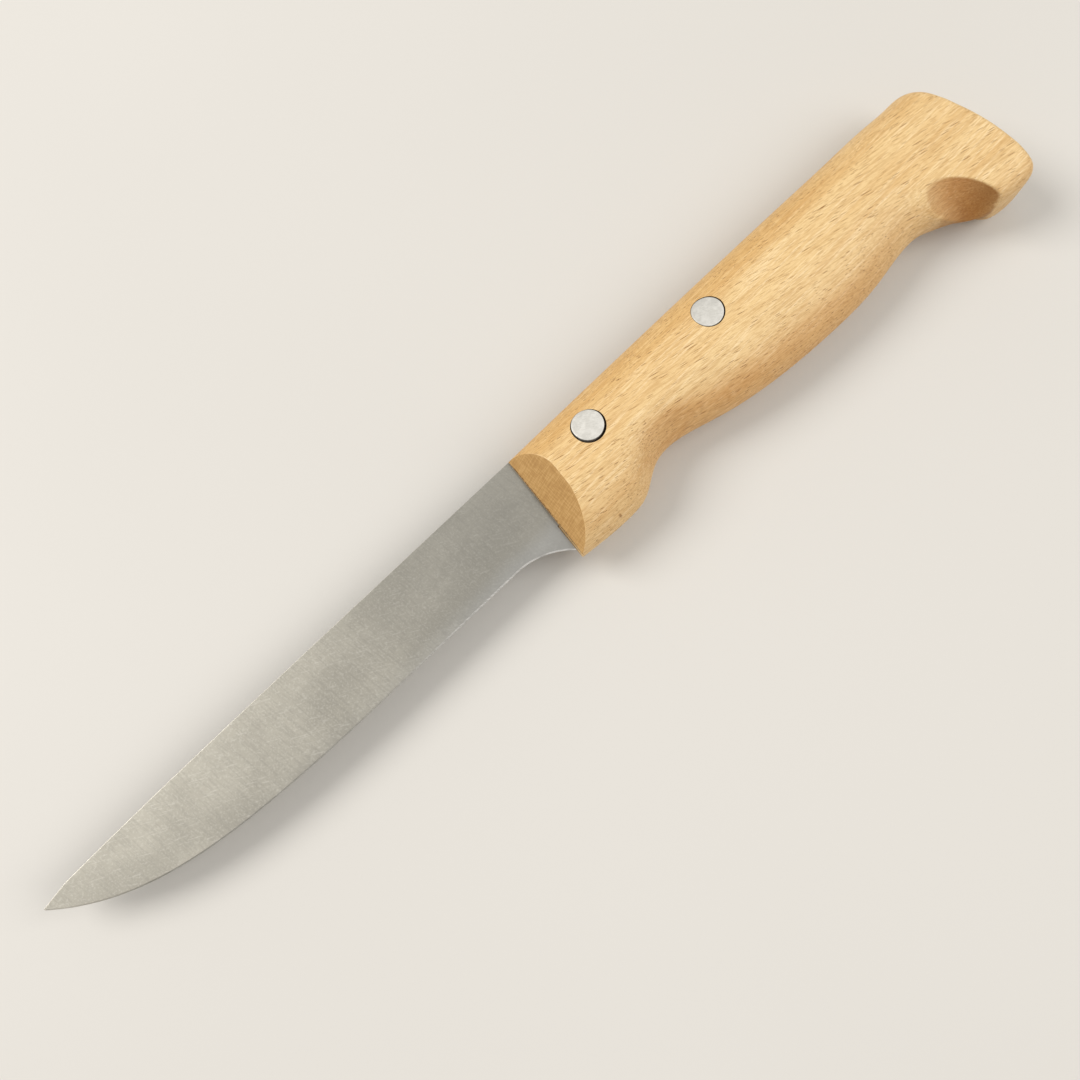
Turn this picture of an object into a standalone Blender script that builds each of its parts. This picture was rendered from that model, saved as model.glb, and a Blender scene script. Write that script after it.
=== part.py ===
"""Boning knife: a stiff pointed blade with a half tang, riveted into a one-piece beech handle.

The knife lies on its side. X runs along it, from the tip at -X to the butt at +X, the spine is on the
+Y side and the cutting edge on the -Y side, and Z is across its thickness. Lengths below are in
millimetres, from the spine corner where blade and handle meet, with the blade's middle plane at Z = 0.
The last step places the knife in metres, with the middle of its box at X = Y = 0 and its underside at
Z = 0.
"""

import math

import bmesh
import bpy
import numpy as np
from mathutils import Matrix, Vector

MM = 0.001
GAP = 0.3  # clearance between pieces that touch
CUTTER_REACH = 40.0  # how far a cutter runs on past whatever it cuts

# Whole knife
BLADE_LENGTH = 140.0
HANDLE_LENGTH = 137.6

# Handle, seen from its side
FRONT_SLANT = 0.104  # the front end leans towards the tip by this much per mm below the spine
FRONT_DEPTH = 28.1  # spine to belly at the front end
SPINE_CROWN = 0.5  # how far the spine line has dropped at either end
BELLY = (  # the belly line, from the front end over the grip to the beak at the butt
    (-FRONT_SLANT * FRONT_DEPTH, -FRONT_DEPTH),
    (6.0, -28.9),
    (12.6, -29.0),
    (16.2, -28.5),
    (20.0, -26.6),
    (24.0, -24.3),
    (28.5, -23.4),
    (34.5, -24.2),
    (45.0, -27.0),
    (60.0, -29.5),
    (77.0, -30.5),
    (93.0, -29.8),
    (105.0, -28.1),
    (111.5, -28.9),
    (117.5, -32.5),
    (123.5, -35.9),
    (128.5, -37.1),
)
BUTT = (  # the butt end, from the spine round to the beak's lower corner
    (118.0, -0.3),
    (126.0, -0.55),
    (130.9, -1.1),
    (133.0, -3.2),
    (134.0, -8.0),
    (135.9, -15.5),
    (137.2, -22.0),
    (HANDLE_LENGTH, -28.0),
    (137.5, -33.6),
    (136.7, -36.5),
    (133.8, -37.4),
    (128.5, -37.1),
)

# Handle, across its thickness
HALF_THICKNESS = 9.1
SIDE_BULGE = 0.28  # how much thicker it would be on each side without the flat land along its crest
LAND_EASE = 0.04  # how softly the land's edges are blended in
CREST_DEPTH = 12.0  # depth below the spine at which the handle is thickest
SPINE_ROUND = 2.1  # exponent of the rounding on the spine side: 2 is an ellipse
BELLY_ROUND = 1.85  # and on the belly side of the front and grip
BUTT_SPINE_ROUND = 2.3
BUTT_BELLY_ROUND = 5.0  # the beak stays slab sided
BUTT_BLEND = (104.0, 126.0)  # where the grip's section gives way to the butt's
BUTT_EDGE_RADIUS = 1.6
END_BLEND = 0.7  # share of the length from which the sections bend to follow the butt end

# Front facets: one plane on each side, from a narrow front strip up to the handle's side
FACET_START = 1.8  # height of the front strip on each side of the middle plane
FACET_RUN = 0.9  # how far a facet runs back for each mm that it rises

# Scoops sanded into both sides of the belly by a tilted drum, which crosses SCOOP_HEIGHT at its centre
SCOOP_HEIGHT = 9.0
SCOOPS = {
    "finger_notch": {"centre": (29.3, -45.6), "radius": 22.0, "axis": (0.1, 0.6, 0.79)},
    "beak": {"centre": (116.2, -38.9), "radius": 10.4, "axis": (-0.2, 0.78, 0.62)},
}

# Blade
SPINE_DROP = 0.5  # the blade's spine lies this much below the handle's
EDGE_DEPTH = 20.35  # spine line to cutting edge along the straight of the edge
HEEL_RADIUS = 19.0  # the edge flares down to the handle in an arc of this radius
HEEL_TURN = 45.0  # degrees that the arc turns through
STRAIGHT_END = -57.0  # where the straight of the edge gives way to the curve up to the tip
TIP = (-BLADE_LENGTH, -2.5)
SPINE_BREAK = (-133.0, -1.4)  # where the spine turns down to the tip
HALF_STOCK = 1.0  # half the blade's thickness, at the spine beside the handle
GRIND_SLOPE = 0.0328  # what half the thickness loses per mm down from the spine line
DISTAL_SLOPE = 0.002  # and per mm towards the tip
EDGE_FLAT = 0.06  # half the width left at the very edge
BEVEL_WIDTH = 0.9  # width of the sharpened bevel
SPINE_EASE = 0.15  # chamfer along the spine's corners
TIP_SHARE = 0.997  # where along the edge the last section lies: the point is this little bit blunt

# Tang and the slot that holds it
TANG_LENGTH = 62.0
TANG_DEPTH = (19.0, 15.5)  # spine line to lower edge of the tang, at the handle's front and at its end
TANG_END_RADIUS = 5.0
TANG_OVERLAP = 6.0  # how far the tang reaches into the blade
TANG_INSET = 0.05  # the tang is this much thinner on each side than the blade

# Rivets: a head with a tube on the upper side, and a head with a pin below
RIVETS = {"front": (17.5, -8.4), "rear": (55.8, -8.3)}
HEAD_RADIUS = 3.7
HEAD_HEIGHT = 1.7  # measured at the head's middle
TUBE_RADIUS = 2.3
BORE_RADIUS = 1.55
PIN_RADIUS = 1.25
HEAD_PROUD = 4.0  # how far a head stands out before it is ground down
HEAD_INSET = 0.05  # the heads are ground this far below the wood

# Mesh density
SPINE_POINTS = 10
OUTLINE_STEPS = 1200
SECTION_SAMPLES = 400
SECTION_STEPS = 20
HANDLE_STEPS = 64
BUTT_EDGE_STEPS = 5
BLADE_STEPS = 48
CORNER_STEPS = 8
ROUND_STEPS = 40
DRUM_STEPS = 128
MERGE = 1e-6  # metres within which points count as one
SMOOTH_ANGLE = 30.0  # degrees: sharper edges than this show as edges
BLADE_SMOOTH_ANGLE = 20.0

PARTS = "boning_knife"
CUTTERS = "cutters"


# ---------------------------------------------------------------- shapes as formulas


def spline(points, steps):
    """Points along the smooth curve through a few points: a natural cubic by chord length."""
    points = np.array(points)
    knots = np.concatenate([[0], np.cumsum(np.linalg.norm(np.diff(points, axis=0), axis=1))])
    gaps = np.diff(knots)
    last = len(points) - 1
    system = np.eye(last + 1)
    bends = np.zeros_like(points)
    for i in range(1, last):
        system[i, i - 1 : i + 2] = gaps[i - 1], 2 * (gaps[i - 1] + gaps[i]), gaps[i]
        bends[i] = 6 * (
            (points[i + 1] - points[i]) / gaps[i] - (points[i] - points[i - 1]) / gaps[i - 1]
        )
    bends = np.linalg.solve(system, bends)
    along = np.linspace(0, knots[-1], steps + 1)
    i = np.clip(np.searchsorted(knots, along, side="right") - 1, 0, last - 1)
    gap = gaps[i][:, None]
    ahead = (knots[i + 1] - along)[:, None]
    behind = (along - knots[i])[:, None]
    return (
        (bends[i] * ahead**3 + bends[i + 1] * behind**3) / (6 * gap)
        + (points[i] / gap - bends[i] * gap / 6) * ahead
        + (points[i + 1] / gap - bends[i + 1] * gap / 6) * behind
    )


def ease(low, high, value):
    """0 below low, 1 above high and smooth between."""
    part = np.clip((value - low) / (high - low), 0, 1)
    return part * part * (3 - 2 * part)


def spine_y(x):
    middle = HANDLE_LENGTH / 2
    return -SPINE_CROWN * ((x - middle) / middle) ** 2


def handle_outline():
    """The handle's spine line, butt end and belly line, which meet in its two rounded corners."""
    spine = [(x, spine_y(x)) for x in np.linspace(0, BUTT[0][0], SPINE_POINTS)]
    whole = spline(spine + list(BUTT[1:]) + list(BELLY[-2::-1]), OUTLINE_STEPS)
    corners = [
        int(np.linalg.norm(whole - np.array(corner), axis=1).argmin())
        for corner in (BUTT[3], BUTT[-3])
    ]
    return whole[: corners[0] + 1], whole[corners[0] : corners[1] + 1], whole[corners[1] :][::-1]


SPINE_LINE, END_LINE, BELLY_LINE = handle_outline()


def belly_y(x):
    return np.interp(x, BELLY_LINE[:, 0], BELLY_LINE[:, 1])


def section(width, x, steps):
    """Half of the handle's cross-section at x: pairs of depth below the spine and half thickness."""
    at_butt = ease(*BUTT_BLEND, x)
    spine_power = SPINE_ROUND + (BUTT_SPINE_ROUND - SPINE_ROUND) * at_butt
    belly_power = BELLY_ROUND + (BUTT_BELLY_ROUND - BELLY_ROUND) * at_butt
    turn = np.linspace(0, math.pi, SECTION_SAMPLES)
    across = np.cos(turn)
    powers = np.where(across > 0, spine_power, belly_power)
    reach = np.where(across > 0, CREST_DEPTH, width - CREST_DEPTH)
    depth = CREST_DEPTH - across * reach
    height = (HALF_THICKNESS + SIDE_BULGE) * (1 - np.abs(across) ** powers) ** (1 / powers)
    height = HALF_THICKNESS - LAND_EASE * np.logaddexp(0, (HALF_THICKNESS - height) / LAND_EASE)
    length = np.concatenate([[0], np.cumsum(np.hypot(np.diff(depth), np.diff(height)))])
    even = np.linspace(0, length[-1], steps + 1)
    return np.interp(even, length, depth), np.interp(even, length, height)


def surface_height(x, y):
    """Half the handle's thickness at a point of its side."""
    depth, height = section(-belly_y(x), x, SECTION_SAMPLES)
    return np.interp(-y, depth, height)


def handle_rings(inset=0.0, steps=HANDLE_STEPS, section_steps=SECTION_STEPS):
    """The handle's skin as closed rings of points, from its front end to its butt."""
    edge = 1 - BUTT_EDGE_RADIUS / HANDLE_LENGTH
    places = list(np.linspace(0, edge, steps))
    for i in range(1, BUTT_EDGE_STEPS + 1):
        places.append(1 - (1 - edge) * (1 - math.sin(math.pi / 2 * i / BUTT_EDGE_STEPS)))
    rings = []
    for place in places:
        top_x = SPINE_LINE[-1, 0] * place
        low_x = BELLY_LINE[0, 0] + (BELLY_LINE[-1, 0] - BELLY_LINE[0, 0]) * place
        top = np.array([top_x, np.interp(top_x, SPINE_LINE[:, 0], SPINE_LINE[:, 1])])
        low = np.array([low_x, belly_y(low_x)])
        width = np.linalg.norm(low - top)
        depth, height = section(width, (top_x + low_x) / 2, section_steps)
        share = (depth / width)[:, None]
        points = top + (low - top) * share
        chord = END_LINE[0] + (END_LINE[-1] - END_LINE[0]) * share
        end_length = np.linspace(0, 1, len(END_LINE))
        end = np.stack([np.interp(share[:, 0], end_length, END_LINE[:, k]) for k in (0, 1)], axis=1)
        points = points + (end - chord) * 2 * ease(END_BLEND, 2 - END_BLEND, place)
        away = np.linalg.norm(points[:, None, :] - END_LINE[None, :, :], axis=2).min(axis=1)
        away = np.minimum(away, BUTT_EDGE_RADIUS)
        rounding = BUTT_EDGE_RADIUS - np.sqrt(BUTT_EDGE_RADIUS**2 - (BUTT_EDGE_RADIUS - away) ** 2)
        height = height * (1 - rounding / HALF_THICKNESS) * (1 - inset / HALF_THICKNESS)
        upper = [(x, y, z) for (x, y), z in zip(points, height)]
        lower = [(x, y, -z) for (x, y), z in zip(points[1:-1], height[1:-1])]
        rings.append(upper + lower[::-1])
    return rings


# ---------------------------------------------------------------- Blender helpers


def clear_scene():
    for item in list(bpy.data.objects):
        bpy.data.objects.remove(item, do_unlink=True)
    for group in list(bpy.data.collections):
        bpy.data.collections.remove(group)


def collection(name):
    made = bpy.data.collections.new(name)
    bpy.context.scene.collection.children.link(made)
    return made


def material(name, colour, roughness, metallic):
    made = bpy.data.materials.new(name)
    made.use_nodes = True
    shader = made.node_tree.nodes["Principled BSDF"]
    shader.inputs["Base Color"].default_value = (*colour, 1)
    shader.inputs["Roughness"].default_value = roughness
    shader.inputs["Metallic"].default_value = metallic
    return made


def add(name, mesh, group):
    made = bpy.data.objects.new(name, mesh)
    group.objects.link(made)
    return made


def loft(name, rings, group):
    """A closed solid through rings of points. Each ring runs over the upper side and back underneath."""
    build = bmesh.new()
    rows = [[build.verts.new(Vector(point) * MM) for point in ring] for ring in rings]
    count = len(rows[0])
    for near, far in zip(rows, rows[1:]):
        for i in range(count):
            j = (i + 1) % count
            build.faces.new((near[i], far[i], far[j], near[j]))
    half = count // 2
    for row, end in ((rows[0], False), (rows[-1], True)):
        closed = count % 2 == 0 and (Vector(row[0].co) - Vector(row[-1].co)).length > 0
        for i in range(half):
            face = [row[i], row[i + 1], row[(count - i - 1) % count], row[(count - i) % count]]
            face = list(dict.fromkeys(face))
            if closed and len(face) > 2:
                build.faces.new(face if end else face[::-1])
    bmesh.ops.recalc_face_normals(build, faces=build.faces)
    mesh = bpy.data.meshes.new(name)
    build.to_mesh(mesh)
    build.free()
    return add(name, mesh, group)


def cylinder(name, radius, low, high, group, steps=ROUND_STEPS):
    """A cylinder along Z from low to high."""
    build = bmesh.new()
    bmesh.ops.create_cone(
        build,
        cap_ends=True,
        segments=steps,
        radius1=radius * MM,
        radius2=radius * MM,
        depth=(high - low) * MM,
        matrix=Matrix.Translation((0, 0, (low + high) / 2 * MM)),
    )
    mesh = bpy.data.meshes.new(name)
    build.to_mesh(mesh)
    build.free()
    return add(name, mesh, group)


def half_space(name, point, normal, group):
    """A big box whose face lies on a plane, on the side away from the plane's normal."""
    size = 3 * CUTTER_REACH
    build = bmesh.new()
    bmesh.ops.create_cube(build, size=size * MM)
    mesh = bpy.data.meshes.new(name)
    build.to_mesh(mesh)
    build.free()
    made = add(name, mesh, group)
    normal = Vector(normal).normalized()
    made.rotation_mode = "QUATERNION"
    made.rotation_quaternion = normal.to_track_quat("X", "Y")
    made.location = (Vector(point) - normal * size / 2) * MM
    return made


def slab(name, outline, half, group):
    """A flat plate of a closed outline, half its thickness either side of Z = 0."""
    curve = bpy.data.curves.new(name, "CURVE")
    curve.dimensions = "2D"
    curve.fill_mode = "BOTH"
    curve.extrude = half * MM
    line = curve.splines.new("POLY")
    line.points.add(len(outline) - 1)
    for point, (x, y) in zip(line.points, outline):
        point.co = (x * MM, y * MM, 0, 1)
    line.use_cyclic_u = True
    drawn = add(name + "_curve", curve, group)
    bpy.context.view_layer.update()
    graph = bpy.context.evaluated_depsgraph_get()
    mesh = bpy.data.meshes.new_from_object(drawn.evaluated_get(graph))
    bpy.data.objects.remove(drawn, do_unlink=True)
    build = bmesh.new()
    build.from_mesh(mesh)
    bmesh.ops.remove_doubles(build, verts=build.verts, dist=MERGE)
    bmesh.ops.recalc_face_normals(build, faces=build.faces)
    build.to_mesh(mesh)
    build.free()
    return add(name, mesh, group)


def turned(name, profile, place, group):
    """A solid turned about the Z axis through place, from a profile of (radius, height) pairs."""
    mesh = bpy.data.meshes.new(name)
    points = [(radius * MM, 0, height * MM) for radius, height in profile]
    mesh.from_pydata(points, [(i, i + 1) for i in range(len(points) - 1)], [])
    made = add(name, mesh, group)
    made.location = (place[0] * MM, place[1] * MM, 0)
    screw = made.modifiers.new("Turn", "SCREW")
    screw.axis = "Z"
    screw.steps = ROUND_STEPS
    screw.render_steps = ROUND_STEPS
    screw.use_merge_vertices = True
    screw.merge_threshold = MERGE
    return made


def boolean(target, tool, operation):
    change = target.modifiers.new(operation.title() + " " + tool.name, "BOOLEAN")
    change.operation = operation
    change.solver = "EXACT"
    change.object = tool


def as_cutter(*tools):
    for tool in tools:
        tool.hide_render = True
        tool.display_type = "WIRE"


def smooth(piece, angle=SMOOTH_ANGLE):
    piece.data.shade_smooth()
    piece.data.set_sharp_from_angle(angle=math.radians(angle))


# ---------------------------------------------------------------- the pieces


def facet_cutters(group):
    """The two planes that bevel the handle's front end into a blunt wedge."""
    made = []
    for side in (1, -1):
        normal = (1, -FRONT_SLANT, -side * FACET_RUN)
        made.append(half_space(f"facet_{side}", (0, 0, side * FACET_START), normal, group))
    return made


def drum_cutters(name, scoop, group):
    """A pair of tilted sanding drums, one for each side of the belly."""
    made = []
    for side in (1, -1):
        label = f"{name}_drum_{side}"
        drum = cylinder(label, scoop["radius"], -CUTTER_REACH, CUTTER_REACH, group, DRUM_STEPS)
        x, y, z = scoop["axis"]
        drum.rotation_mode = "QUATERNION"
        drum.rotation_quaternion = Vector((x, y, side * z)).to_track_quat("Z", "Y")
        drum.location = Vector((*scoop["centre"], side * SCOOP_HEIGHT)) * MM
        made.append(drum)
    return made


def tang_outline(extra):
    """The tang seen from its side, grown by extra below and at its end. It is open towards the spine."""
    end = TANG_LENGTH + extra
    low = -TANG_DEPTH[0] - extra
    end_low = -TANG_DEPTH[1] - extra
    radius = TANG_END_RADIUS + extra
    points = [(0.0, low)]
    for i in range(CORNER_STEPS + 1):
        angle = math.pi / 2 * (i / CORNER_STEPS - 1)
        points.append((end - radius + radius * math.cos(angle), end_low + radius + radius * math.sin(angle)))
    return points


def make_handle(group, cutters):
    handle = loft("handle", handle_rings(), group)
    tools = facet_cutters(cutters)
    for name, scoop in SCOOPS.items():
        tools += drum_cutters(name, scoop, cutters)
    kerf = [(-CUTTER_REACH, CUTTER_REACH), (-CUTTER_REACH, -TANG_DEPTH[0] - GAP)] + tang_outline(GAP)
    kerf.append((TANG_LENGTH + GAP, CUTTER_REACH))
    tools.append(slab("kerf", kerf, HALF_STOCK + GAP, cutters))
    for name, (x, y) in RIVETS.items():
        hole = cylinder(f"{name}_hole", TUBE_RADIUS + GAP, -CUTTER_REACH, CUTTER_REACH, cutters)
        hole.location = (x * MM, y * MM, 0)
        tools.append(hole)
        floor = surface_height(x, y) - HEAD_HEIGHT - GAP
        for side in (1, -1):
            low, high = sorted((side * floor, side * CUTTER_REACH))
            bore = cylinder(f"{name}_counterbore_{side}", HEAD_RADIUS + GAP, low, high, cutters)
            bore.location = (x * MM, y * MM, 0)
            tools.append(bore)
    as_cutter(*tools)
    for tool in tools:
        boolean(handle, tool, "DIFFERENCE")
    smooth(handle)
    return handle


def blade_half(x, y):
    """Half the blade's thickness: its two sides are flat and close towards the edge and the tip."""
    return HALF_STOCK + DISTAL_SLOPE * min(x, 0) + GRIND_SLOPE * (y + SPINE_DROP)


def blade_spine_y(x):
    if x > SPINE_BREAK[0]:
        return -SPINE_DROP + (SPINE_BREAK[1] + SPINE_DROP) * (x / SPINE_BREAK[0]) ** 6
    share = (x - SPINE_BREAK[0]) / (TIP[0] - SPINE_BREAK[0])
    return SPINE_BREAK[1] + (TIP[1] - SPINE_BREAK[1]) * share


def edge_point(share):
    """A point of the cutting edge, from the heel at 0 to the tip at 1."""
    heel_x = -FRONT_SLANT * (EDGE_DEPTH + HEEL_RADIUS * (1 - math.cos(math.radians(HEEL_TURN)))) - GAP
    arc_length = HEEL_RADIUS * math.radians(HEEL_TURN)
    arc_start = heel_x - HEEL_RADIUS * math.sin(math.radians(HEEL_TURN))
    along = share * BLADE_LENGTH
    if along < arc_length:
        turn = math.radians(HEEL_TURN) - along / HEEL_RADIUS
        drop = HEEL_RADIUS * (1 - math.cos(turn))
        return arc_start + HEEL_RADIUS * math.sin(turn), -EDGE_DEPTH - drop
    x = arc_start + (TIP[0] - arc_start) * (along - arc_length) / (BLADE_LENGTH - arc_length)
    if x > STRAIGHT_END:
        return x, -EDGE_DEPTH
    reach = (x - STRAIGHT_END) / (TIP[0] - STRAIGHT_END)
    return x, -EDGE_DEPTH + (EDGE_DEPTH + TIP[1]) * (0.33 * reach**2 + 0.67 * reach**5)


def blade_ring(top_x, top_y, low_x, low_y, bevel):
    """One closed section of the blade: spine corners, flat sides and the bevel down to the edge."""
    depth = math.hypot(top_x - low_x, top_y - low_y)
    corner = min(SPINE_EASE, depth / 5)
    bevel = min(bevel, depth / 2)
    lean = (low_x - top_x) / (low_y - top_y)
    upper = []
    for y, cut in ((top_y, corner), (top_y - corner, 0), (low_y + bevel, 0)):
        x = top_x + lean * (y - top_y)
        upper.append((x, y, blade_half(x, y) - cut))
    upper.append((low_x, low_y, EDGE_FLAT))
    return upper + [(x, y, -z) for x, y, z in upper[::-1]]


def make_blade(group, cutters):
    rings = []
    heel_x = edge_point(0)[0]
    for i in range(BLADE_STEPS + 1):
        share = TIP_SHARE * i / BLADE_STEPS
        low_x, low_y = edge_point(share)
        lean = max(0.0, 1 - (heel_x - low_x) / HEEL_RADIUS)
        top_x = low_x + lean * (-SPINE_DROP * FRONT_SLANT - GAP - heel_x)
        ahead_x, ahead_y = edge_point(share + 1 / BLADE_STEPS)
        slope = (ahead_y - low_y) / (ahead_x - low_x)
        bevel = BEVEL_WIDTH * math.hypot(1, slope)
        rings.append(blade_ring(top_x, blade_spine_y(top_x), low_x, low_y, bevel))
    blade = loft("blade", rings, group)
    tang = make_tang(cutters)
    holes = []
    for name, (x, y) in RIVETS.items():
        hole = cylinder(f"{name}_tang_hole", TUBE_RADIUS + GAP, -CUTTER_REACH, CUTTER_REACH, cutters)
        hole.location = (x * MM, y * MM, 0)
        holes.append(hole)
    as_cutter(tang, *holes)
    boolean(blade, tang, "UNION")
    for hole in holes:
        boolean(blade, hole, "DIFFERENCE")
    smooth(blade, BLADE_SMOOTH_ANGLE)
    return blade


def make_tang(group):
    """The tang, with flat sides that carry on the blade's own and start a little inside it."""
    rings = []
    outline = [(-TANG_OVERLAP, -TANG_DEPTH[0])] + tang_outline(0)
    for x, y in outline[:-1]:
        ring = []
        for corner_y in (-SPINE_DROP - TANG_INSET, y):
            ring.append((x, corner_y, blade_half(x, corner_y) - TANG_INSET))
        rings.append(ring + [(a, b, -c) for a, b, c in ring[::-1]])
    return loft("tang", rings, group)


def rivet_profiles(x, y):
    """The two halves of a rivet: (radius, height) pairs down each one's outside and back up its bore."""
    top = surface_height(x, y)
    under = top - HEAD_HEIGHT
    proud = top + HEAD_PROUD
    tube = [
        (0, proud),
        (HEAD_RADIUS, proud),
        (HEAD_RADIUS, under),
        (TUBE_RADIUS, under),
        (TUBE_RADIUS, -under + GAP),
        (BORE_RADIUS, -under + GAP),
        (BORE_RADIUS, under),
        (0, under),
    ]
    pin = [
        (0, under - GAP),
        (PIN_RADIUS, under - GAP),
        (PIN_RADIUS, -under),
        (HEAD_RADIUS, -under),
        (HEAD_RADIUS, -proud),
        (0, -proud),
    ]
    return {"tube": tube, "pin": pin}


def make_rivets(group, skin):
    made = []
    for name, place in RIVETS.items():
        for half, profile in rivet_profiles(*place).items():
            piece = turned(f"{name}_rivet_{half}", profile, place, group)
            boolean(piece, skin, "INTERSECT")
            smooth(piece)
            made.append(piece)
    return made


def main():
    clear_scene()
    parts = collection(PARTS)
    cutters = collection(CUTTERS)
    skin = loft("handle_skin", handle_rings(HEAD_INSET), cutters)
    as_cutter(skin)
    handle = make_handle(parts, cutters)
    blade = make_blade(parts, cutters)
    rivets = make_rivets(parts, skin)
    handle.data.materials.append(material("beech", (0.80, 0.56, 0.30), 0.5, 0.0))
    blade.data.materials.append(material("steel", (0.62, 0.61, 0.58), 0.35, 1.0))
    alloy = material("rivet_metal", (0.78, 0.78, 0.77), 0.4, 1.0)
    for rivet in rivets:
        rivet.data.materials.append(alloy)
    root = bpy.data.objects.new(PARTS, None)
    parts.objects.link(root)
    middle_x = (END_LINE[:, 0].max() + edge_point(TIP_SHARE)[0]) / 2
    middle_y = min(BELLY_LINE[:, 1].min(), END_LINE[:, 1].min()) / 2
    root.location = Vector((-middle_x, -middle_y, HALF_THICKNESS)) * MM
    for item in [*parts.objects, *cutters.objects]:
        if item is not root:
            item.parent = root


main()
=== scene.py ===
"""Looks for the boning knife: finely meshed wood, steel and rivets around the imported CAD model.

The knife lies on its side on a pale floor. Unless a comment says otherwise, lengths are in millimetres
from the spine corner where blade and handle meet: X towards the butt, Y towards the spine, Z across the
thickness from the middle plane. The near side is the upper one, the far side lies on the floor.
"""

import math

import bmesh
import bpy
import numpy as np
from mathutils import Matrix, Vector


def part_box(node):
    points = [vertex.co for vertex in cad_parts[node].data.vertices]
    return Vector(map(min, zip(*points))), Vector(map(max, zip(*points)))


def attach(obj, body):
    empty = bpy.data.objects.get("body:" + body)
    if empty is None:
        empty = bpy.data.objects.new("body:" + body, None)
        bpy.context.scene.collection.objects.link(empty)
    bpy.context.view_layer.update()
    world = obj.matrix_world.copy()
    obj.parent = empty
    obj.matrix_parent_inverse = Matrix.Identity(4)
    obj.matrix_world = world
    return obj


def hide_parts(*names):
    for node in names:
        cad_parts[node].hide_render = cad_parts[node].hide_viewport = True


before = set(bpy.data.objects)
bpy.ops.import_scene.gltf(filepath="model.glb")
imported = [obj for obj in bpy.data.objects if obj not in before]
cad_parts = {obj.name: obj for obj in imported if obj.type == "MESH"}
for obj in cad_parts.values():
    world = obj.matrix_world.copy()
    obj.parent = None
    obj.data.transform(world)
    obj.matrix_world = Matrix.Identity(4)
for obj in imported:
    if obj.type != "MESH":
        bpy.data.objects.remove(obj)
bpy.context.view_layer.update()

MM = 0.001

# ---------------------------------------------------------------- the handle's shape, as in the CAD

HANDLE_LENGTH = 137.6
FRONT_SLANT = 0.104  # the front end leans towards the tip by this much per mm below the spine
FRONT_DEPTH = 28.1
SPINE_CROWN = 0.5  # the spine is this much higher in its middle than at its front
BELLY = (  # points of the lower outline
    (-FRONT_SLANT * FRONT_DEPTH, -FRONT_DEPTH),
    (6.0, -28.9),
    (12.6, -29.0),
    (16.2, -28.5),
    (20.0, -26.6),
    (24.0, -24.3),
    (28.5, -23.4),
    (34.5, -24.2),
    (45.0, -27.0),
    (60.0, -29.5),
    (77.0, -30.5),
    (93.0, -29.8),
    (105.0, -28.1),
    (111.5, -28.9),
    (117.5, -32.5),
    (123.5, -35.9),
    (128.5, -37.1),
)
BUTT = (  # points round the handle's end, from the spine to the beak
    (118.0, -0.3),
    (126.0, -0.55),
    (130.9, -1.1),
    (133.0, -3.2),
    (134.0, -8.0),
    (135.9, -15.5),
    (137.2, -22.0),
    (HANDLE_LENGTH, -28.0),
    (137.5, -33.6),
    (136.7, -36.5),
    (133.8, -37.4),
    (128.5, -37.1),
)
HALF_THICKNESS = 9.1
SIDE_BULGE = 0.28  # the section's curve would rise this much higher, if the land didn't cut it off
LAND_EASE = 0.04  # rounding where that curve meets the land
CREST_DEPTH = 12.0  # from the spine down to the thickest place
SPINE_ROUND = 2.1  # powers of the section's curve: 2 is an ellipse, and more is squarer
BELLY_ROUND = 1.85
BUTT_SPINE_ROUND = 2.3
BUTT_BELLY_ROUND = 5.0
BUTT_BLEND = (104.0, 126.0)  # along X, from the grip's powers to the butt's
BUTT_EDGE_RADIUS = 1.6
END_BLEND = 0.7  # share of the length from which the rows lean over to follow the butt's end
FACET_START = 1.8  # the facet's foot, above the middle plane
FACET_RUN = 0.9  # how far the facet goes back per mm that it rises
SCOOP_HEIGHT = 9.0
SCOOPS = {  # softness is how far the sanded edge is rounded over, on the near side and on the far side
    "finger_notch": {
        "centre": (29.3, -45.6),
        "radius": 22.0,
        "axis": (0.1, 0.6, 0.79),
        "softness": (0.3, 0.3),
    },
    "beak": {
        "centre": (116.2, -38.9),
        "radius": 10.4,
        "axis": (-0.2, 0.78, 0.62),
        "softness": (0.1, 0.6),
    },
}

# ---------------------------------------------------------------- the blade's shape, as in the CAD

BLADE_LENGTH = 140.0
SPINE_DROP = 0.5  # the blade's spine lies this much below the handle's
EDGE_DEPTH = 20.35
HEEL_RADIUS = 19.0
HEEL_TURN = 45.0  # degrees
HEEL_GAP = 0.3
STRAIGHT_END = -57.0  # the edge is straight from the heel to here
SWEEP = ((0.33, 2), (0.67, 5))  # shares and powers of the edge's rise to the point
TIP = (-BLADE_LENGTH, -2.5)
SPINE_BREAK = (-133.0, -1.4)  # where the spine's slow droop turns into the straight run to the point
SPINE_DROOP = 6  # power of that droop
HALF_STOCK = 1.0
GRIND_SLOPE = 0.0328  # half thickness lost per mm towards the edge
DISTAL_SLOPE = 0.002  # and per mm towards the point
EDGE_FLAT = 0.06
BEVEL_WIDTH = 0.3
BEVEL_LINE = 0.03  # the bevel's tone ends within this
SPINE_EASE = 0.08  # rounding of the spine's two corners
SPINE_EASE_TURNS = (0, 0.52, 1.05, 1.571)  # radians
TIP_SHARE = 0.997  # the last section, just short of the point, closes the blade
TANG_LENGTH = 62.0
TANG_DEPTH = (19.0, 15.5)  # below the spine line, at the handle's front and at the tang's end
TANG_END_RADIUS = 5.0
TANG_OVERLAP = 6.0  # how far the tang reaches into the blade before the two are joined
TANG_INSET = 0.05
KERF_GAP = 0.3

# ---------------------------------------------------------------- the rivets' shape, as in the CAD

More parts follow.
